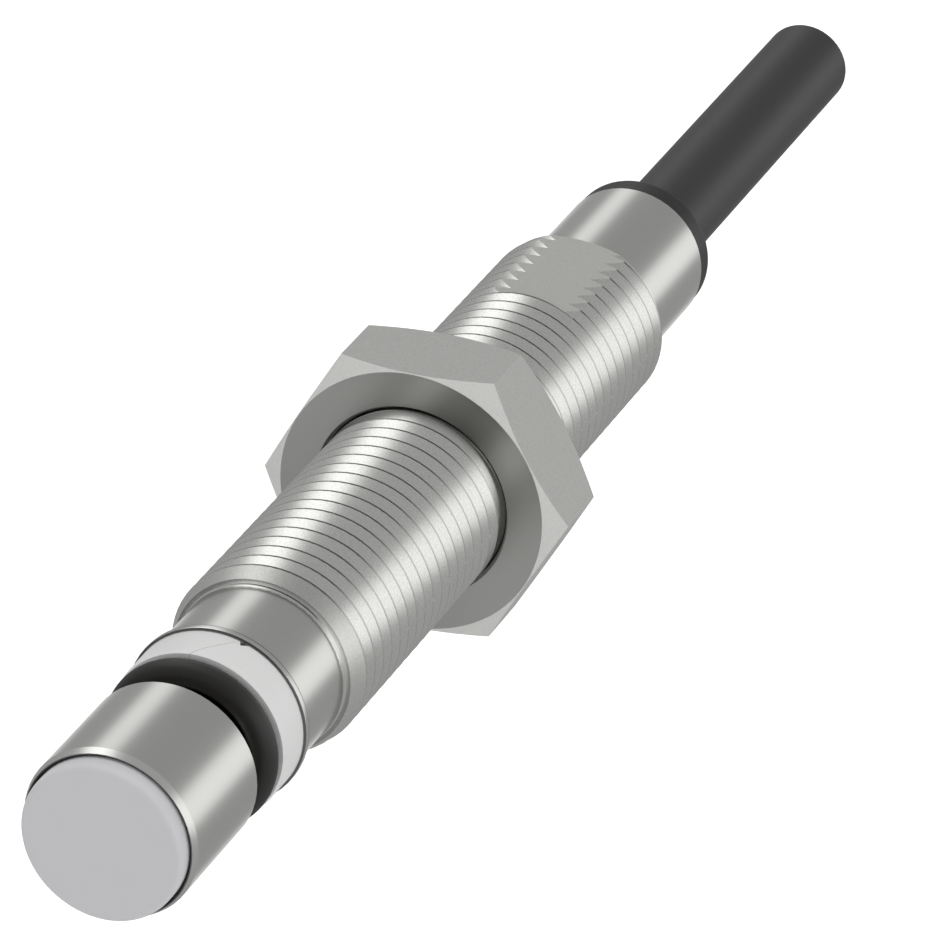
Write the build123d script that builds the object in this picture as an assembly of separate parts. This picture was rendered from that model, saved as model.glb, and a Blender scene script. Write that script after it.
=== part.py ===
"""Inductive proximity sensor for high pressure: a stainless barrel with a fine thread, a sealed ceramic face,
a jam nut and a moulded-in three-core cable.

The barrel's axis runs along +Y. The origin is the centre of the sensing face, and the cable leaves at the
other end. +Z is the normal of one flat of the jam nut.
"""
from build123d import *
import math
import os

# Barrel, front to back, along the axis
tube_front = 1.0
nose_diameter = 10.5
nose_chamfer_width = 0.18
nose_chamfer_length = 0.45
groove_front = 9.4
groove_width = 6.2
groove_root_diameter = 7.36
lip_width = 0.55
lip_edge_round = 0.16
neck_diameter = 10.34
lip_height = 0.38
neck_corner_round = 0.34
shoulder_start = 22.0
shoulder_rim_width = 0.02
thread_diameter = 11.94
thread_lead_in = 0.8
thread_end = 71.8
thread_end_chamfer = 0.7
tail_diameter = 9.66
tail_end = 81.0
flats_start = 61.85
flats_across = 10.5
flats_turn = 6.1

# Bores of the barrel
face_bore_diameter = 10.0
coil_bore_diameter = 8.7
coil_bore_end = 8.2
wire_bore_diameter = 3.4
board_bore_start = 17.4
board_bore_diameter = 8.0

# Sensing face and its bond line
face_thickness = 3.0
face_edge_round = 0.3
bond_thickness = 0.12
bond_recess = 0.15
fit_gap = 0.02

# Seals in the groove
o_ring_section = 1.6
o_ring_diameter = 10.6
backup_ring_width = 2.65
backup_ring_diameter = 10.74
backup_ring_edge_width = 0.09
backup_ring_edge_length = 0.4
scarf_angle = 36.0
scarf_gap = 0.035
scarf_turn = 5.8
scarf_notch_width = 0.58
scarf_notch_corner = 0.17
scarf_notch_depth = 0.36

# Jam nut
nut_across_flats = 17.0
nut_thickness = 5.8
nut_front = 44.2
nut_face_diameter = 16.9
nut_chamfer_angle = 30.0
nut_running_clearance = 0.08
nut_countersink_width = 0.2
nut_countersink_depth = 0.35

# Coil, ferrite and screen
ferrite_diameter = 8.0
ferrite_length = 3.6
ferrite_slot_inner_diameter = 3.8
ferrite_slot_outer_diameter = 7.0
ferrite_slot_depth = 2.6
ferrite_hole_diameter = 1.2
lead_hole_diameter = 0.6
bobbin_wall = 0.25
coil_clearance = 0.05
screen_wall = 0.25
screen_end_gap = 0.1
lead_diameter = 0.3
lead_start_radius = 2.6
lead_run_radius = 0.9
lead_bend_start = 7.0
lead_bend_end = 8.0
lead_bend_radius = 0.8

# Circuit board and what is soldered to it
board_start = 19.0
board_end = 70.6
board_width = 7.0
board_thickness = 0.8
board_corner_chamfer = 0.5
solder_start = 0.4
solder_length = 3.2
solder_width = 1.1
solder_film = 0.135

# Components: width, length and height, then where they sit along the board
oscillator_size = (3.9, 4.9, 1.5)
transistor_size = (3.5, 4.5, 1.6)
diode_size = (2.6, 4.3, 1.7)
tantalum_size = (2.8, 3.5, 1.9)
capacitor_size = (0.8, 1.6, 0.8)
resistor_size = (0.8, 1.6, 0.5)
oscillator_station = 29.0
transistor_station = 52.0
diode_station = 59.0
tantalum_station = 43.0
filter_station = 36.5
filter_spacing = 1.5
filter_count = 3
capacitor_station = 25.0
capacitor_pitch = 3.4
capacitor_offset = 1.6
capacitor_count = 5
resistor_station = 26.0
resistor_pitch = 3.4
resistor_offset = 1.4
resistor_count = 10

# Cable
cable_diameter = 5.8
cable_end = 114.2
jacket_start = 74.0
core_diameter = 1.56
conductor_diameter = 0.8
core_circle_radius = 1.25
core_strip_start = 71.2
conductor_start = 66.4
crimp_wall = 0.5
crimp_start = 74.6
crimp_length = 1.8

# Rear cap
cap_diameter = 9.5
cap_flange_length = 1.7
cap_plug_length = 4.3
cap_edge_round = 0.3

# Potting
potting_gap = 0.03

cut_margin = 1.0
nut_root_radius = thread_diameter / 2 + nut_running_clearance
lip_diameter = neck_diameter + 2 * lip_height
shoulder_diameter = neck_diameter + 2 * (neck_corner_round + shoulder_rim_width)
core_angles = {"brown": 90.0, "blue": 210.0, "black": 330.0}
board_bottom = -core_circle_radius / 2 + conductor_diameter / 2 + solder_film
board_top = board_bottom + board_thickness
lead_height = board_top + solder_film + lead_diameter / 2


def turned(points):
    """A solid of revolution about the Y axis from (radius, station) corners, closed along its last side."""
    outline = Polyline(*[(radius, station) for radius, station in points], close=True)
    return revolve(make_face(outline), axis=Axis.Y)


def ring(inner_diameter, outer_diameter, start, end):
    """A plain tube along Y between two stations."""
    inner, outer = inner_diameter / 2, outer_diameter / 2
    return turned([(inner, start), (outer, start), (outer, end), (inner, end)])


def rod(diameter, start, end, x=0.0, z=0.0):
    """A round rod along Y between two stations, its axis at x and z."""
    profile = Plane(origin=(x, start, z), x_dir=(1, 0, 0), z_dir=(0, 1, 0)) * Circle(diameter / 2)
    return extrude(profile, end - start)


def block(x_size, y_start, y_end, z_start, z_end, x=0.0):
    """A box given by its width and its ends along Y and Z."""
    centre = (x, (y_start + y_end) / 2, (z_start + z_end) / 2)
    return Pos(*centre) * Box(x_size, y_end - y_start, z_end - z_start)


def edges_at(solid, station, radius):
    """The round edges of a turned solid at one station and radius."""
    return [
        edge
        for edge in solid.edges().filter_by(GeomType.CIRCLE)
        if abs(edge.arc_center.Y - station) < 1e-4 and abs(edge.radius - radius) < 1e-4
    ]


def wrench_flats():
    """The material outside two parallel spanner flats, from their front wall to the end of the thread."""
    length = thread_end - flats_start
    reach = thread_diameter
    slabs = []
    for side in (1, -1):
        slab = Box(2 * reach, length, reach)
        lift = side * (flats_across / 2 + reach / 2)
        slabs.append(Pos(0, flats_start + length / 2, 0) * Rot(0, flats_turn, 0) * Pos(0, 0, lift) * slab)
    return slabs


def make_housing():
    """The turned barrel: sealed nose, groove, lip, relieved neck, threaded body with flats, and tail."""
    groove_rear = groove_front + groove_width
    lip_rear = groove_rear + lip_width
    barrel = turned([
        (0, tube_front),
        (nose_diameter / 2 - nose_chamfer_width, tube_front),
        (nose_diameter / 2, tube_front + nose_chamfer_length),
        (nose_diameter / 2, groove_front),
        (groove_root_diameter / 2, groove_front),
        (groove_root_diameter / 2, groove_rear),
        (lip_diameter / 2, groove_rear),
        (lip_diameter / 2, lip_rear),
        (neck_diameter / 2, lip_rear),
        (neck_diameter / 2, shoulder_start),
        (shoulder_diameter / 2, shoulder_start),
        (thread_diameter / 2, shoulder_start + thread_lead_in),
        (thread_diameter / 2, thread_end - thread_end_chamfer),
        (thread_diameter / 2 - thread_end_chamfer, thread_end),
        (tail_diameter / 2, thread_end),
        (tail_diameter / 2, tail_end),
        (0, tail_end),
    ])
    lip_edges = edges_at(barrel, groove_rear, lip_diameter / 2) + edges_at(barrel, lip_rear, lip_diameter / 2)
    barrel = fillet(lip_edges, lip_edge_round)
    barrel = fillet(edges_at(barrel, shoulder_start, neck_diameter / 2), neck_corner_round)
    barrel -= rod(face_bore_diameter, tube_front - cut_margin, face_thickness)
    barrel -= rod(coil_bore_diameter, face_thickness - cut_margin / 2, coil_bore_end)
    barrel -= rod(wire_bore_diameter, coil_bore_end - cut_margin / 2, board_bore_start + cut_margin / 2)
    barrel -= rod(board_bore_diameter, board_bore_start, tail_end + cut_margin)
    for slab in wrench_flats():
        barrel -= slab
    return barrel


def make_sensing_face():
    """The ceramic disc, proud of the tube, with a rounded front edge."""
    diameter = face_bore_diameter - 2 * bond_thickness - 4 * fit_gap
    disc = rod(diameter, 0, face_thickness)
    return fillet(edges_at(disc, 0, diameter / 2), face_edge_round)


def make_bond_ring():
    """The dark bond line between the disc and the tube, set back from the tube's end."""
    outer = face_bore_diameter - 2 * fit_gap
    return ring(outer - 2 * bond_thickness, outer, tube_front + bond_recess, face_thickness)


def make_o_ring():
    """The round-section seal, squeezed only by the bore that the nose goes into."""
    centre = backup_ring_front() - fit_gap - o_ring_section / 2
    section = Pos(o_ring_diameter / 2 - o_ring_section / 2, centre) * Circle(o_ring_section / 2)
    return revolve(section, axis=Axis.Y)


def backup_ring_front():
    """The backup ring's front face: the ring lies at the groove's rear wall."""
    return groove_front + groove_width - fit_gap - backup_ring_width


def make_backup_ring():
    """The white support ring, cut through on a scarf, with the corner of one lip of the cut missing."""
    front = backup_ring_front()
    rear = front + backup_ring_width
    inner = groove_root_diameter + 4 * fit_gap
    outer_radius = backup_ring_diameter / 2
    body = turned([
        (inner / 2, front),
        (outer_radius - backup_ring_edge_width, front),
        (outer_radius, front + backup_ring_edge_length),
        (outer_radius, rear),
        (inner / 2, rear),
    ])
    slit = Box(scarf_gap, 3 * backup_ring_width, outer_radius)
    slit = Pos(0, (front + rear) / 2, outer_radius / 2 + inner / 4) * Rot(0, 0, -scarf_angle) * slit
    body -= Rot(0, scarf_turn, 0) * slit
    half_run = math.degrees(backup_ring_width / 2 * math.tan(math.radians(scarf_angle)) / outer_radius)
    outline = Polyline(
        (0, rear + cut_margin),
        (0, rear),
        (scarf_notch_corner, rear - scarf_notch_depth),
        (scarf_notch_width, rear),
        (scarf_notch_width, rear + cut_margin),
        close=True,
    )
    notch = Pos(0, 0, inner / 2) * extrude(make_face(outline), outer_radius)
    return body - Rot(0, scarf_turn + half_run, 0) * notch


def make_jam_nut():
    """The hexagon nut, chamfered on both faces, its bore clear of the thread's crest."""
    hexagon = Plane.XZ.offset(-nut_front) * RegularPolygon(nut_across_flats / 2, 6, major_radius=False)
    nut = extrude(hexagon, -nut_thickness)
    corner_radius = nut_across_flats / math.sqrt(3)
    rise = (corner_radius + cut_margin - nut_face_diameter / 2) * math.tan(math.radians(nut_chamfer_angle))
    face_radius = nut_face_diameter / 2
    rear = nut_front + nut_thickness
    nut &= turned([
        (0, nut_front),
        (face_radius, nut_front),
        (corner_radius + cut_margin, nut_front + rise),
        (corner_radius + cut_margin, rear - rise),
        (face_radius, rear),
        (0, rear),
    ])
    mouth = nut_root_radius + nut_countersink_width
    return nut - turned([
        (0, nut_front - cut_margin),
        (mouth, nut_front - cut_margin),
        (mouth, nut_front),
        (nut_root_radius, nut_front + nut_countersink_depth),
        (nut_root_radius, rear - nut_countersink_depth),
        (mouth, rear),
        (mouth, rear + cut_margin),
        (0, rear + cut_margin),
    ])


def make_ferrite_core():
    """The pot core, its slot open towards the sensing face, with two holes for the coil's leads."""
    start = face_thickness + screen_end_gap
    core = rod(ferrite_diameter, start, start + ferrite_length)
    slot_end = start + ferrite_slot_depth
    core -= ring(ferrite_slot_inner_diameter, ferrite_slot_outer_diameter, start - cut_margin, slot_end)
    core -= rod(ferrite_hole_diameter, start - cut_margin, start + ferrite_length + cut_margin)
    for side in (1, -1):
        hole_x = side * lead_start_radius
        core -= rod(lead_hole_diameter, start, start + ferrite_length + cut_margin, hole_x, lead_height)
    return core


def bobbin_span():
    """The bobbin's front and rear stations inside the ferrite's slot."""
    start = face_thickness + screen_end_gap
    return start + coil_clearance, start + ferrite_slot_depth - coil_clearance


def make_coil_bobbin():
    """The plastic spool in the slot, with a lead hole through its rear flange."""
    front, rear = bobbin_span()
    inner = ferrite_slot_inner_diameter / 2 + coil_clearance
    outer = ferrite_slot_outer_diameter / 2 - coil_clearance
    hub = inner + bobbin_wall
    spool = turned([
        (inner, front),
        (outer, front),
        (outer, front + bobbin_wall),
        (hub, front + bobbin_wall),
        (hub, rear - bobbin_wall),
        (outer, rear - bobbin_wall),
        (outer, rear),
        (inner, rear),
    ])
    for side in (1, -1):
        hole_start = rear - 2 * bobbin_wall
        spool -= rod(lead_hole_diameter, hole_start, rear + cut_margin, side * lead_start_radius, lead_height)
    return spool


def coil_span():
    """The winding's front and rear stations between the bobbin's flanges."""
    front, rear = bobbin_span()
    return front + bobbin_wall + fit_gap, rear - bobbin_wall - fit_gap


def make_coil_winding():
    """The copper winding, wound as one solid ring."""
    front, rear = coil_span()
    inner = ferrite_slot_inner_diameter + 2 * (coil_clearance + bobbin_wall + fit_gap)
    outer = ferrite_slot_outer_diameter - 2 * (coil_clearance + bobbin_wall / 2)
    return ring(inner, outer, front, rear)


def lead_path(side):
    """One lead's line from the winding to the board: straight, in towards the axis, straight again."""
    return FilletPolyline(
        (side * lead_start_radius, coil_span()[1], lead_height),
        (side * lead_start_radius, lead_bend_start, lead_height),
        (side * lead_run_radius, lead_bend_end, lead_height),
        (side * lead_run_radius, board_start + solder_length, lead_height),
        radius=lead_bend_radius,
    )


def lead(side, diameter):
    """One lead of the given diameter."""
    path = lead_path(side)
    section = Plane(origin=path @ 0, z_dir=path % 0) * Circle(diameter / 2)
    return sweep(section, path=path)


def make_coil_leads():
    """Both leads of the winding."""
    return Compound(children=[lead(side, lead_diameter) for side in (1, -1)])


def make_screen_sleeve():
    """The thin brass sleeve that screens the coil from the barrel."""
    outer = coil_bore_diameter - 2 * fit_gap
    return ring(outer - 2 * screen_wall, outer, face_thickness + fit_gap, coil_bore_end - screen_end_gap)


def make_front_potting():
    """Resin behind the ferrite and through the neck, around both leads."""
    start = face_thickness + screen_end_gap + ferrite_length + potting_gap
    wide = coil_bore_diameter / 2 - screen_wall - 2 * fit_gap - potting_gap
    narrow = wire_bore_diameter / 2 - potting_gap
    fill = turned([
        (0, start),
        (wide, start),
        (wide, coil_bore_end - potting_gap),
        (narrow, coil_bore_end - potting_gap),
        (narrow, board_bore_start),
        (0, board_bore_start),
    ])
    for side in (1, -1):
        fill -= lead(side, lead_diameter + 2 * potting_gap)
    return fill


def make_circuit_board():
    """The long narrow board between the wires' two levels."""
    board = block(board_width, board_start, board_end, board_bottom, board_top)
    return chamfer(board.edges().filter_by(Axis.Z), board_corner_chamfer)


def chip(size, station, x, top, grow=0.0):
    """A moulded component that sits on one face of the board."""
    width, length, height = size
    level = board_top if top else board_bottom - height
    front = station - length / 2 - grow
    rear = station + length / 2 + grow
    return block(width + 2 * grow, front, rear, level - grow, level + height + grow, x)


def row(size, station, pitch, count, x, top):
    """Equal components in a line along the board: size, station, x and whether each is on the upper face."""
    return [(size, station + pitch * k, x, top) for k in range(count)]


def across(size, station, spacing, count):
    """Equal components side by side on the upper face, centred on the axis."""
    return [(size, station, spacing * (k - (count - 1) / 2), True) for k in range(count)]


chip_places = {
    "oscillator_chip": [(oscillator_size, oscillator_station, 0.0, True)],
    "output_transistor": [(transistor_size, transistor_station, 0.0, True)],
    "protection_diode": [(diode_size, diode_station, 0.0, True)],
    "tantalum_capacitor": [(tantalum_size, tantalum_station, 0.0, True)],
    "chip_capacitors": row(
        capacitor_size, capacitor_station, capacitor_pitch, capacitor_count, -capacitor_offset, False
    ) + across(capacitor_size, filter_station, filter_spacing, filter_count),
    "chip_resistors": row(
        resistor_size, resistor_station, resistor_pitch, resistor_count, resistor_offset, False
    ),
}


def make_chips(name, grow=0.0):
    """All components of one group."""
    return [chip(*place, grow) for place in chip_places[name]]


def core_place(name):
    """The x and z of one core inside the cable."""
    angle = math.radians(core_angles[name])
    return core_circle_radius * math.cos(angle), core_circle_radius * math.sin(angle)


def solder_blocks(grow=0.0):
    """The solder between each wire and its pad: three conductors behind, two coil leads in front."""
    blocks = []
    for name in core_angles:
        x, z = core_place(name)
        if z > 0:
            low, high = board_top, z - conductor_diameter / 2
        else:
            low, high = z + conductor_diameter / 2, board_bottom
        start = conductor_start - grow
        blocks.append(block(solder_width + 2 * grow, start, start + solder_length + 2 * grow, low, high, x))
    for side in (1, -1):
        low, high = board_top, lead_height - lead_diameter / 2
        start = board_start + solder_start - grow
        end = start + solder_length + 2 * grow
        blocks.append(block(solder_width + 2 * grow, start, end, low, high, side * lead_run_radius))
    return blocks


def make_core(name, grow=0.0):
    """One core's insulation, stripped back where it meets the board."""
    x, z = core_place(name)
    sleeve = rod(core_diameter + 2 * grow, core_strip_start - grow, cable_end, x, z)
    if grow:
        return sleeve
    hole_diameter = conductor_diameter + 2 * fit_gap
    return sleeve - rod(hole_diameter, core_strip_start - cut_margin, cable_end + cut_margin, x, z)


def make_conductor(name, grow=0.0):
    """One core's copper, from its pad to the cut end of the cable."""
    x, z = core_place(name)
    return rod(conductor_diameter + 2 * grow, conductor_start - grow, cable_end, x, z)


def make_cable_jacket():
    """The round jacket, filled between the cores, cut square at its far end."""
    jacket = rod(cable_diameter, jacket_start, cable_end)
    for name in core_angles:
        x, z = core_place(name)
        jacket -= rod(core_diameter + 2 * fit_gap, jacket_start - cut_margin, cable_end + cut_margin, x, z)
    return jacket


def make_crimp_ring():
    """The ring crimped on the jacket inside the resin, which takes the pull on the cable."""
    inner = cable_diameter + 2 * fit_gap
    return ring(inner, inner + 2 * crimp_wall, crimp_start, crimp_start + crimp_length)


def make_end_cap():
    """The black cap: a flange on the tail's end and a plug inside it, bored for the cable."""
    rear = tail_end + cap_flange_length
    bore = cable_diameter / 2 + fit_gap
    plug = board_bore_diameter / 2 - fit_gap
    cap = turned([
        (bore, tail_end - cap_plug_length),
        (plug, tail_end - cap_plug_length),
        (plug, tail_end),
        (cap_diameter / 2, tail_end),
        (cap_diameter / 2, rear),
        (bore, rear),
    ])
    return fillet(edges_at(cap, rear, cap_diameter / 2), cap_edge_round)


def make_rear_potting():
    """Resin around the board, its components and the ends of the cable's cores."""
    diameter = board_bore_diameter - 2 * potting_gap
    fill = rod(diameter, board_bore_start + potting_gap, tail_end - cap_plug_length - potting_gap)
    half = potting_gap
    low, high = board_bottom - half, board_top + half
    fill -= block(board_width + 2 * half, board_start - half, board_end + half, low, high)
    for name in chip_places:
        for body in make_chips(name, half):
            fill -= body
    for body in solder_blocks(half):
        fill -= body
    for side in (1, -1):
        fill -= lead(side, lead_diameter + 2 * half)
    for name in core_angles:
        fill -= make_conductor(name, half)
        fill -= make_core(name, half)
    fill -= rod(cable_diameter + 2 * half, jacket_start - half, tail_end)
    ring_diameter = cable_diameter + 2 * (fit_gap + crimp_wall + half)
    fill -= rod(ring_diameter, crimp_start - half, crimp_start + crimp_length + half)
    return fill


parts = {
    "housing": make_housing(),
    "sensing_face": make_sensing_face(),
    "bond_ring": make_bond_ring(),
    "o_ring": make_o_ring(),
    "backup_ring": make_backup_ring(),
    "jam_nut": make_jam_nut(),
    "ferrite_core": make_ferrite_core(),
    "coil_bobbin": make_coil_bobbin(),
    "coil_winding": make_coil_winding(),
    "coil_leads": make_coil_leads(),
    "screen_sleeve": make_screen_sleeve(),
    "front_potting": make_front_potting(),
    "circuit_board": make_circuit_board(),
    "solder_joints": Compound(children=solder_blocks()),
    "cable_jacket": make_cable_jacket(),
    "crimp_ring": make_crimp_ring(),
    "end_cap": make_end_cap(),
    "rear_potting": make_rear_potting(),
}
for group in chip_places:
    parts[group] = Compound(children=make_chips(group))
for colour in core_angles:
    parts[f"core_{colour}"] = make_core(colour)
    parts[f"conductor_{colour}"] = make_conductor(colour)

os.makedirs("parts", exist_ok=True)
for name, solid in parts.items():
    export_step(solid, f"parts/{name}.step")
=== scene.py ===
"""Looks of the inductive proximity sensor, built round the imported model."""

import math

import bmesh
import bpy
from mathutils import Matrix, Vector


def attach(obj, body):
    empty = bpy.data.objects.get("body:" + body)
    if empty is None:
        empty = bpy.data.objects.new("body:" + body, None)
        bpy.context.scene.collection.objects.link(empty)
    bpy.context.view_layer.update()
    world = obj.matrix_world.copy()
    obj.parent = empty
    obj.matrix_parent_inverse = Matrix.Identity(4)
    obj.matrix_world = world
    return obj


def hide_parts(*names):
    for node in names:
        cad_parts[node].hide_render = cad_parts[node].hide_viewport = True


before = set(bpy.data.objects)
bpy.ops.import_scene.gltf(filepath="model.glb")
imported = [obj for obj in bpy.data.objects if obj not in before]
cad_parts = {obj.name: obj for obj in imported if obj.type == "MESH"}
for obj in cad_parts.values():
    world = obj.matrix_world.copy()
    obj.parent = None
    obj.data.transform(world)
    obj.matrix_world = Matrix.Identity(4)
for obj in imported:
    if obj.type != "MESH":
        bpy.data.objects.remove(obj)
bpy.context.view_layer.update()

MM = 0.001

# The thread, in millimetres from the sensing face; angles run from +Z towards +X
PITCH = 1.25
CREST_RADIUS = 5.97
ROOT_RADIUS = 5.57
ROOT_AT = 22.14
FRONT_FLANK = 0.8
CREST_LAND = 0.15
REAR_FLANK = PITCH - FRONT_FLANK - CREST_LAND
THREAD_FRONT = 21.5
THREAD_REAR = 72.3
COLUMNS = 256

# The closed form that the barrel is cut to: how far it reaches past the crest, and its wide ends
PAST_CREST = 0.03
ENVELOPE_RADIUS = 14.0
ENVELOPE_FRONT = -6.0
ENVELOPE_REAR = 95.0

# Vertices closer together than this are one, and those this near the axis are on it
SAME_PLACE = 1e-4
ON_AXIS = 1e-6

# The lip behind the seal groove; a fine dark line of painted shade runs round its rear edge
LIP_FRONT = 15.6
LIP_REAR = 16.15
LIP_SHADE_LINE = 0.17

# The two spanner flats
FLATS_TURN = math.radians(6.1)
FLATS_START = 61.84
FLAT_NORMAL = Vector((math.sin(FLATS_TURN), 0, math.cos(FLATS_TURN)))

# The barrel's finishes, one of them painted shade, in the order of its materials
TURNED, THREADED, MILLED, PAINTED_SHADE, LEAD, CREST = range(6)

# Where each finish lies: distances from the sensing face, then least radii
FACE_EDGE_END = 1.05
LIP_EDGE = 0.12
CORNER_START = 21.9
RIDGES_START = 22.3
CREST_START = 22.85
RIDGES_END = 71.75
NECK_SIDE_END = 62
SLACK = 0.01
RIM_MIN_RADIUS = 4.9
FLAT_MIN_RADIUS = 5.2
CORNER_MIN_RADIUS = 5.28
LIP_MIN_RADIUS = 5.3
RIDGE_MIN_RADIUS = 5.4
LEAD_MIN_RADIUS = 5.5
CREST_MIN_RADIUS = CREST_RADIUS - 0.02

# Parts of a face's normal along an axis: from level with it to square across it
SAME_WAY = 0.999
FACING_END = 0.99
FACING_REAR = 0.98
CORNER_SLOPE = -0.75
EDGE_SLOPE = -0.55
LEAD_LEAST_SLOPE = -0.1
CREST_SLOPE = 0.02

# The crest's normals lean forward, and its colour is darker than the steel's as painted shade, so a dark
# line runs along each crest
CREST_LEAN = math.radians(45)
# One slope for the whole lead-in, whose packed facets differ a little
LEAD_SLOPE = -0.46


def thread_corner_rows():
    """Offset from a turn's root and radius of one turn's three corner lines, a little past the crest."""
    height = CREST_RADIUS - ROOT_RADIUS
    top = CREST_RADIUS + PAST_CREST
    return [
        (0.0, ROOT_RADIUS),
        (FRONT_FLANK + PAST_CREST * FRONT_FLANK / height, top),
        (FRONT_FLANK + CREST_LAND - PAST_CREST * REAR_FLANK / height, top),
    ]


def envelope_column(around):
    """Distance and radius of the envelope's profile at a part of a whole turn round the axis."""
    rows = thread_corner_rows()
    top = rows[1][1]
    column = [(ENVELOPE_FRONT, ENVELOPE_RADIUS), (THREAD_FRONT, ENVELOPE_RADIUS), (THREAD_FRONT, top)]
    for k in range(-2, int((THREAD_REAR - ROOT_AT) / PITCH) + 2):
        for offset, radius in rows:
            y = ROOT_AT + PITCH * (k + around) + offset
            inside = THREAD_FRONT < y < THREAD_REAR
            column.append((y, radius) if inside else (min(max(y, THREAD_FRONT), THREAD_REAR), top))
    column += [(THREAD_REAR, top), (THREAD_REAR, ENVELOPE_RADIUS), (ENVELOPE_REAR, ENVELOPE_RADIUS)]
    return column


def threaded_envelope():
    """A closed solid, wide at both ends, whose middle is the right-handed thread."""
    bm = bmesh.new()
    grid = []
    for j in range(COLUMNS + 1):
        turn = 2 * math.pi * j / COLUMNS
        x, z = math.sin(turn), math.cos(turn)
        grid.append([bm.verts.new((r * x, y, r * z)) for y, r in envelope_column(j / COLUMNS)])
    front = bm.verts.new((0, ENVELOPE_FRONT, 0))
    rear = bm.verts.new((0, ENVELOPE_REAR, 0))
    for here, there in zip(grid, grid[1:]):
        for i in range(len(here) - 1):
            bm.faces.new((here[i], here[i + 1], there[i + 1], there[i]))
        bm.faces.new((front, here[0], there[0]))
        bm.faces.new((rear, there[-1], here[-1]))
    bmesh.ops.remove_doubles(bm, verts=bm.verts, dist=SAME_PLACE)
    bmesh.ops.triangulate(bm, faces=bm.faces)
    bmesh.ops.recalc_face_normals(bm, faces=bm.faces)
    return bm


def mesh_object(name, bm):
    """A mesh object from a bmesh, which is freed."""
    mesh = bpy.data.meshes.new(name)
    bm.to_mesh(mesh)
    bm.free()
    made = bpy.data.objects.new(name, mesh)
    bpy.context.scene.collection.objects.link(made)
    return made


def cut_to(target, cutter):
    """Leaves of the target what lies inside the cutter."""
    step = target.modifiers.new("cut", "BOOLEAN")
    step.operation = "INTERSECT"
    step.solver = "EXACT"
    step.object = cutter
    bpy.context.view_layer.update()
    evaluated = target.evaluated_get(bpy.context.evaluated_depsgraph_get())
    mesh = bpy.data.meshes.new_from_object(evaluated)
    target.modifiers.clear()
    target.data = mesh
    bpy.data.objects.remove(cutter)


def threaded_barrel():
    """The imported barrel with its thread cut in, in the same place and form, still in millimetres."""
    bm = bmesh.new()
    bm.from_mesh(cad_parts["housing"].data)
    bmesh.ops.scale(bm, vec=(1 / MM,) * 3, verts=bm.verts)
    bmesh.ops.remove_doubles(bm, verts=bm.verts, dist=SAME_PLACE)
    everything = bm.verts[:] + bm.edges[:] + bm.faces[:]
    line = (0, LIP_REAR - LIP_SHADE_LINE, 0)
    bmesh.ops.bisect_plane(bm, geom=everything, plane_co=line, plane_no=(0, 1, 0))
    made = mesh_object("barrel", bm)
    cut_to(made, mesh_object("envelope", threaded_envelope()))
    return made


def surface_kind(face):
    """Which finish a face of the barrel has."""
    x, y, z = face.center
    radius = math.hypot(x, z)
    slope = face.normal.y
    if y > FLATS_START and abs(face.normal.dot(FLAT_NORMAL)) > SAME_WAY and radius > FLAT_MIN_RADIUS:
        return MILLED
    # Painted shade: a dark band round the lip's rear edge, and the forward-facing rims at the tube end and
    # at the lip's front, stand for the shade at these edges
    if LIP_REAR - LIP_SHADE_LINE < y < LIP_REAR + SLACK and radius > LIP_MIN_RADIUS:
        return PAINTED_SHADE
    at_edge = y < FACE_EDGE_END or abs(y - LIP_FRONT) < LIP_EDGE
    if at_edge and slope < EDGE_SLOPE and radius > RIM_MIN_RADIUS:
        return PAINTED_SHADE
    first_crest = ROOT_AT + FRONT_FLANK + PITCH * math.atan2(x, z) / (2 * math.pi)
    least = LEAD_MIN_RADIUS if slope > CORNER_SLOPE else CORNER_MIN_RADIUS
    if CORNER_START < y < first_crest and slope < LEAD_LEAST_SLOPE and radius > least:
        return LEAD
    if RIDGES_START < y < RIDGES_END and radius > RIDGE_MIN_RADIUS and abs(slope) < FACING_END:
        is_crest = y > CREST_START and abs(slope) < CREST_SLOPE and radius > CREST_MIN_RADIUS
        return CREST if is_crest else THREADED
    return TURNED


def is_flat(face, kind):
    """Whether a face of the barrel is shaded flat."""
    if kind == LEAD:
        return False
    slope = face.normal.y
    facing_rear = slope > FACING_REAR and face.center.y < NECK_SIDE_END
    return kind == MILLED or abs(slope) > SAME_WAY or facing_rear


def finish_barrel(barrel):
    """Gives each face its finish and, where it is round, normals that follow the round."""
    mesh = barrel.data
    normals = [None] * len(mesh.loops)
    slopes = {CREST: -math.sin(CREST_LEAN), LEAD: LEAD_SLOPE}
    for face in mesh.polygons:
        kind = surface_kind(face)
        face.material_index = kind
        face.use_smooth = True
        flat = is_flat(face, kind)
        outward = kind in slopes or face.normal.x * face.center.x + face.normal.z * face.center.z > 0
        slope = slopes.get(kind, face.normal.y)
        across = math.sqrt(max(0.0, 1 - slope ** 2)) * (1 if outward else -1)
        for i in face.loop_indices:
            v = mesh.vertices[mesh.loops[i].vertex_index].co
            radius = math.hypot(v.x, v.z)
            if flat or radius < ON_AXIS:
                normals[i] = face.normal.copy()
            else:
                normals[i] = Vector((v.x / radius * across, slope, v.z / radius * across))
    mesh.normals_split_custom_set(normals)
    mesh.transform(Matrix.Scale(MM, 4))


def new_material(name):
    """An empty node material and its Principled shader."""
    made = bpy.data.materials.new(name)
    made.use_nodes = True
    return made, made.node_tree.nodes["Principled BSDF"]


def node(tree, kind, links=(), **settings):
    """A shader node with its properties set and its numbered or named inputs filled or linked."""
    made = tree.nodes.new(kind)
    for key, value in settings.items():
        setattr(made, key, value)
    for key, value in links:
        if isinstance(value, bpy.types.NodeSocket):
            tree.links.new(value, made.inputs[key])
        else:
            made.inputs[key].default_value = value
    return made


def plain(name, colour, roughness, metallic=0.0):
    """A plain surface of one colour."""
    made, shader = new_material(name)
    shader.inputs["Base Color"].default_value = (*colour, 1)
    shader.inputs["Roughness"].default_value = roughness
    shader.inputs["Metallic"].default_value = metallic
    return made


GRAIN_SCALE = 9000.0
QUARTER_TURN = 0.25


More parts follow.
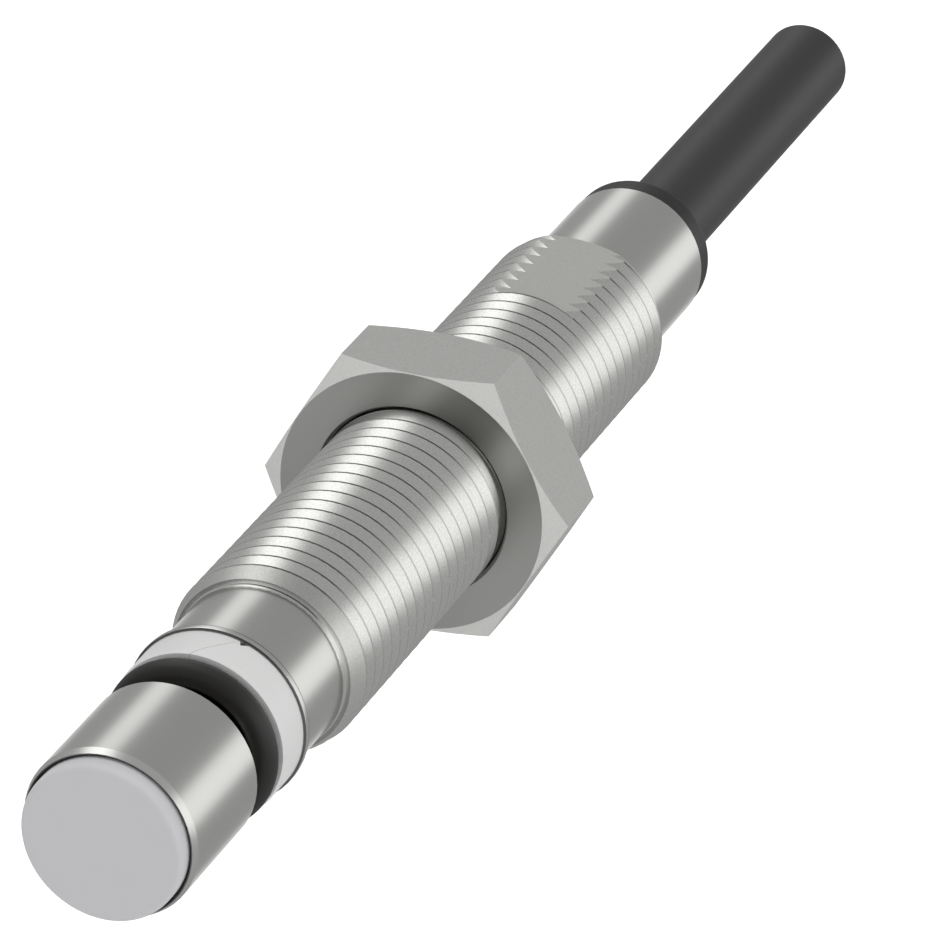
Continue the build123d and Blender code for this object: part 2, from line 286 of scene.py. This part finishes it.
def steel(name, colour, roughness, grain=0.0, anisotropic=0.0, metallic=1.0, across=False):
    """Bare steel; grain is how much its colour varies from spot to spot."""
    made = plain(name, colour, roughness, metallic)
    tree = made.node_tree
    shader = tree.nodes["Principled BSDF"]
    if anisotropic:
        tangent = node(tree, "ShaderNodeTangent", direction_type="RADIAL", axis="Y")
        tree.links.new(tangent.outputs["Tangent"], shader.inputs["Tangent"])
        shader.inputs["Anisotropic"].default_value = anisotropic
        shader.inputs["Anisotropic Rotation"].default_value = QUARTER_TURN if across else 0.0
    if grain:
        place = node(tree, "ShaderNodeTexCoord").outputs["Object"]
        noise = node(tree, "ShaderNodeTexNoise", [(0, place), ("Scale", GRAIN_SCALE), ("Detail", 1.0)])
        dark, light = [(*(shade * c for c in colour), 1) for shade in (1 - grain, 1 + grain)]
        shades = [(0, noise.outputs["Fac"]), (6, dark), (7, light)]
        mixed = node(tree, "ShaderNodeMix", shades, data_type="RGBA")
        tree.links.new(mixed.outputs[2], shader.inputs["Base Color"])
    return made


STEEL = (0.62, 0.62, 0.60)
BARREL_FINISHES = {
    TURNED: steel("turned_steel", STEEL, 0.24, anisotropic=0.5),
    THREADED: steel("thread_steel", STEEL, 0.25, grain=0.16, anisotropic=0.5),
    MILLED: steel("milled_steel", (0.52, 0.52, 0.495), 0.65, grain=0.12, metallic=0.6),
    # Dark steel as painted shade at the lip and at the forward rims
    PAINTED_SHADE: steel("painted_shade_steel", (0.2, 0.2, 0.2), 0.4),
    LEAD: steel("lead_steel", STEEL, 0.42, grain=0.16),
    # The crest's colour is darker than the steel's: painted shade along each crest
    CREST: steel("crest_painted_shade_steel", (0.52, 0.52, 0.51), 0.36),
}
barrel = threaded_barrel()
for kind in sorted(BARREL_FINISHES):
    barrel.data.materials.append(BARREL_FINISHES[kind])
finish_barrel(barrel)
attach(barrel, "sensor")
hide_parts("housing")
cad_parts["housing"].hide_render = True


def paint(name, *finishes):
    """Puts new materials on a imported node, whose shape stays as it is."""
    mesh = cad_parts[name].data
    mesh.materials.clear()
    for finish in finishes:
        mesh.materials.append(finish)
    return mesh


# On the nut, faces are flats, end faces or chamfers; the bore's own chamfers lie inside this radius
NUT_FLAT, NUT_FACE, NUT_EDGE = range(3)
NUT_EDGE_SLOPE = 0.3
NUT_EDGE_RADIUS = 8 * MM
nut_mesh = paint(
    "jam_nut",
    steel("nut_steel", (0.47, 0.47, 0.455), 0.65, grain=0.15, metallic=0.45),
    steel("nut_face_steel", STEEL, 0.32, anisotropic=0.85, across=True),
    # The outer chamfers are given a lighter colour than the flats: painted light
    steel("nut_edge_painted_light_steel", (0.72, 0.72, 0.70), 0.6, grain=0.1, metallic=0.15),
)
for face in nut_mesh.polygons:
    slope = abs(face.normal.y)
    if slope > FACING_END:
        face.material_index = NUT_FACE
    elif slope > NUT_EDGE_SLOPE and math.hypot(face.center.x, face.center.z) > NUT_EDGE_RADIUS:
        face.material_index = NUT_EDGE
    else:
        face.material_index = NUT_FLAT

paint("sensing_face", plain("ceramic", (0.63, 0.63, 0.645), 0.6))
paint("bond_ring", plain("bond", (0.01, 0.01, 0.01), 0.5))
paint("o_ring", plain("o_ring_rubber", (0.016, 0.015, 0.014), 0.5))
paint("backup_ring", plain("white_ptfe", (0.75, 0.75, 0.745), 0.45))
paint("end_cap", plain("cap_black", (0.012, 0.012, 0.013), 0.5))
paint("cable_jacket", plain("jacket", (0.024, 0.024, 0.025), 0.5))
CORES = {"brown": (0.16, 0.07, 0.035), "blue": (0.03, 0.12, 0.42), "black": (0.015, 0.015, 0.015)}
for name, colour in CORES.items():
    paint(f"core_{name}", plain(f"insulation_{name}", colour, 0.4))
    paint(f"conductor_{name}", plain("copper", (0.82, 0.42, 0.24), 0.3, metallic=1.0))

# The camera, fitted to the photograph
RIGHT = Vector((0.92650, 0.37589, 0.01762))
UP = Vector((-0.18716, 0.41968, 0.88816))
BACK = Vector((0.32645, -0.82618, 0.45918))
CAMERA_PLACE = Vector((0.14082, -0.30259, 0.19562))
SENSOR_WIDTH = 36.0
LENS = 271.05


def make_camera():
    """The camera that the photograph was taken with, as far as it can be told."""
    camera = bpy.data.objects.new("camera", bpy.data.cameras.new("camera"))
    bpy.context.scene.collection.objects.link(camera)
    turn = Matrix((RIGHT, UP, BACK)).transposed().to_4x4()
    camera.matrix_world = Matrix.Translation(CAMERA_PLACE) @ turn
    camera.data.sensor_fit = "HORIZONTAL"
    camera.data.sensor_width = SENSOR_WIDTH
    camera.data.lens = LENS
    camera.data.clip_start = 0.01
    camera.data.clip_end = 20.0
    bpy.context.scene.camera = camera


def maths(tree, operation, a, b):
    """A shader sum, product or other operation on two values."""
    return node(tree, "ShaderNodeMath", [(0, a), (1, b)], operation=operation).outputs[0]


def add(tree, *values):
    """The sum of shader values."""
    total = values[0]
    for value in values[1:]:
        total = maths(tree, "ADD", total, value)
    return total


def times(tree, first, *others):
    """The product of shader values."""
    product = first
    for value in others:
        product = maths(tree, "MULTIPLY", product, value)
    return product


def vectors(tree, operation, *links, output="Vector"):
    """The outcome of an operation on shader vectors."""
    return node(tree, "ShaderNodeVectorMath", links, operation=operation).outputs[output]


def dot(tree, a, b):
    """The dot product of two shader vectors."""
    return vectors(tree, "DOT_PRODUCT", (0, a), (1, b), output="Value")


def ramp(tree, value, gone, full):
    """0 at one level of a value, rising smoothly to 1 at another."""
    low, high = sorted((gone, full))
    ends = (0.0, 1.0) if gone < full else (1.0, 0.0)
    inputs = [(0, value), (1, low), (2, high), (3, ends[0]), (4, ends[1])]
    return node(tree, "ShaderNodeMapRange", inputs, interpolation_type="SMOOTHSTEP").outputs[0]


def lobe(tree, direction, towards, full, gone):
    """1 within an angle of a direction, falling smoothly to 0 at a wider one, both in degrees."""
    edges = [math.cos(math.radians(angle)) for angle in (gone, full)]
    return ramp(tree, dot(tree, direction, towards), *edges)


# The studio's even light, and how much more of it there is over the front of the part
BASE_LIGHT = 0.38
BASE_GAIN = 0.09
LEAST_LIGHT = 0.02
# Long soft boxes along the barrel: angle from +Z towards +X, half-widths of full and of no light,
# strength, how much stronger they are over the front, and where along the axis they end
SOFT_BOXES = [
    (-43.0, 4.0, 21.0, 0.75, 0.75, (-0.25, 0.0)),
    (91.0, 10.0, 28.0, 0.84, 0.12, (-0.9, -0.7)),
]
# How the boxes lean in over the front of the part
BOX_DRIFT = (0.185, 0.0, 0.32)
DRIFT_FROM = 0.826
DRIFT_LIMIT = -0.8
FRONT_RAMP = (0.75, 0.25)
# The white backdrop behind the part, half-widths in degrees
BACKDROP_LOBE = (5, 22)
# A dark card in front of the part, narrow across one direction, with a wing and a window
DARK_CARD = -0.44
CARD_ASIDE = (0.819, 0.0, -0.574)
CARD_SIDES = ((0.45, 0.15), (-0.45, -0.15))
CARD_REACH = (-0.1, -0.4)
WING_SIDE = (-0.95, -0.75)
WING_REACH = (-0.75, -0.6)
CARD_WINDOW = (-0.326, -0.826, -0.459)
WINDOW_LOBE = (10, 24)


def seen_directly(tree):
    """1 for rays from the camera and for rays that pass through something, else 0."""
    path = node(tree, "ShaderNodeLightPath")
    return add(tree, path.outputs["Is Camera Ray"], path.outputs["Is Transmission Ray"])


def soft_boxes(tree, direction, ahead, forward):
    """The light of the long soft boxes."""
    behind = maths(tree, "MAXIMUM", add(tree, ahead, -DRIFT_FROM), DRIFT_LIMIT)
    drift = vectors(tree, "SCALE", (0, BOX_DRIFT), ("Scale", behind))
    moved = vectors(tree, "ADD", (0, direction), (1, drift))
    flat = vectors(tree, "MULTIPLY", (0, moved), (1, (1, 0, 1)))
    around = vectors(tree, "NORMALIZE", (0, flat))
    for angle, full, gone, strength, gain, ends in SOFT_BOXES:
        towards = (math.sin(math.radians(angle)), 0, math.cos(math.radians(angle)))
        gained = add(tree, strength, times(tree, forward, strength * gain))
        yield times(tree, lobe(tree, around, towards, full, gone), gained, ramp(tree, ahead, *ends))


def dark_card(tree, direction, ahead):
    """The light that the dark card takes away."""
    aside = dot(tree, direction, CARD_ASIDE)
    right, left = CARD_SIDES
    near = times(tree, ramp(tree, aside, *right), ramp(tree, ahead, *CARD_REACH))
    card = times(tree, near, ramp(tree, aside, *left))
    wing = times(tree, near, ramp(tree, aside, *WING_SIDE), ramp(tree, ahead, *WING_REACH))
    window = lobe(tree, direction, CARD_WINDOW, *WINDOW_LOBE)
    closed = add(tree, 1.0, times(tree, window, -1.0))
    return times(tree, maths(tree, "MAXIMUM", card, wing), closed, DARK_CARD)


def make_world():
    """A pale studio for what mirrors it, and plain white where it is seen directly."""
    world = bpy.data.worlds.new("studio")
    bpy.context.scene.world = world
    world.use_nodes = True
    tree = world.node_tree
    tree.nodes.clear()
    direction = node(tree, "ShaderNodeTexCoord").outputs["Generated"]
    ahead = dot(tree, direction, (0, 1, 0))
    forward = ramp(tree, ahead, *FRONT_RAMP)
    backdrop = times(tree, lobe(tree, direction, tuple(-BACK), *BACKDROP_LOBE), 1.0 - BASE_LIGHT)
    boxes = soft_boxes(tree, direction, ahead, forward)
    card = dark_card(tree, direction, ahead)
    total = add(tree, BASE_LIGHT, times(tree, forward, BASE_GAIN), *boxes, backdrop, card)
    studio = maths(tree, "MAXIMUM", total, LEAST_LIGHT)
    strength = node(tree, "ShaderNodeMix", [(0, seen_directly(tree)), (2, studio), (3, 1.0)]).outputs[0]
    background = node(tree, "ShaderNodeBackground", [("Color", (1, 1, 1, 1)), ("Strength", strength)])
    output = node(tree, "ShaderNodeOutputWorld")
    tree.links.new(background.outputs[0], output.inputs[0])


# Soft lamps for what is not bare metal: direction they come from and strength
FILLS = [((-0.3, -0.92, 0.2), 0.95), ((0.9, -0.2, -0.15), 0.75), ((-0.1, -0.1, 0.97), 0.72)]
FILL_WIDTH = math.radians(70)


def make_fills():
    """Broad soft lamps that the metal doesn't mirror."""
    for number, (source, strength) in enumerate(FILLS):
        lamp = bpy.data.lights.new(f"fill_{number}", "SUN")
        lamp.energy = strength
        lamp.angle = FILL_WIDTH
        made = bpy.data.objects.new(f"fill_{number}", lamp)
        bpy.context.scene.collection.objects.link(made)
        made.rotation_euler = Vector(source).to_track_quat("Z", "Y").to_euler()
        made.visible_glossy = False


FLOOR_Z = -0.06
FLOOR_REACH = 2
FLOOR_COLOUR = (0.85, 0.85, 0.85, 1)
FLOOR_GLOW = 0.5


def make_floor():
    """The white floor under the part; its own glow tops up the light to white where it is seen directly."""
    mesh = bpy.data.meshes.new("floor")
    signs = ((-1, -1), (1, -1), (1, 1), (-1, 1))
    mesh.from_pydata([(x * FLOOR_REACH, y * FLOOR_REACH, FLOOR_Z) for x, y in signs], [], [(0, 1, 2, 3)])
    floor = bpy.data.objects.new("floor", mesh)
    bpy.context.scene.collection.objects.link(floor)
    made = bpy.data.materials.new("floor")
    made.use_nodes = True
    tree = made.node_tree
    tree.nodes.clear()
    diffuse = node(tree, "ShaderNodeBsdfDiffuse", [("Color", FLOOR_COLOUR)])
    strength = times(tree, seen_directly(tree), FLOOR_GLOW)
    glow = node(tree, "ShaderNodeEmission", [("Color", (1, 1, 1, 1)), ("Strength", strength)])
    both = node(tree, "ShaderNodeAddShader", [(0, diffuse.outputs[0]), (1, glow.outputs[0])])
    output = node(tree, "ShaderNodeOutputMaterial")
    tree.links.new(both.outputs[0], output.inputs[0])
    mesh.materials.append(made)
    floor.visible_glossy = False


make_camera()
make_world()
make_fills()
make_floor()
bpy.context.scene.view_settings.view_transform = "Standard"
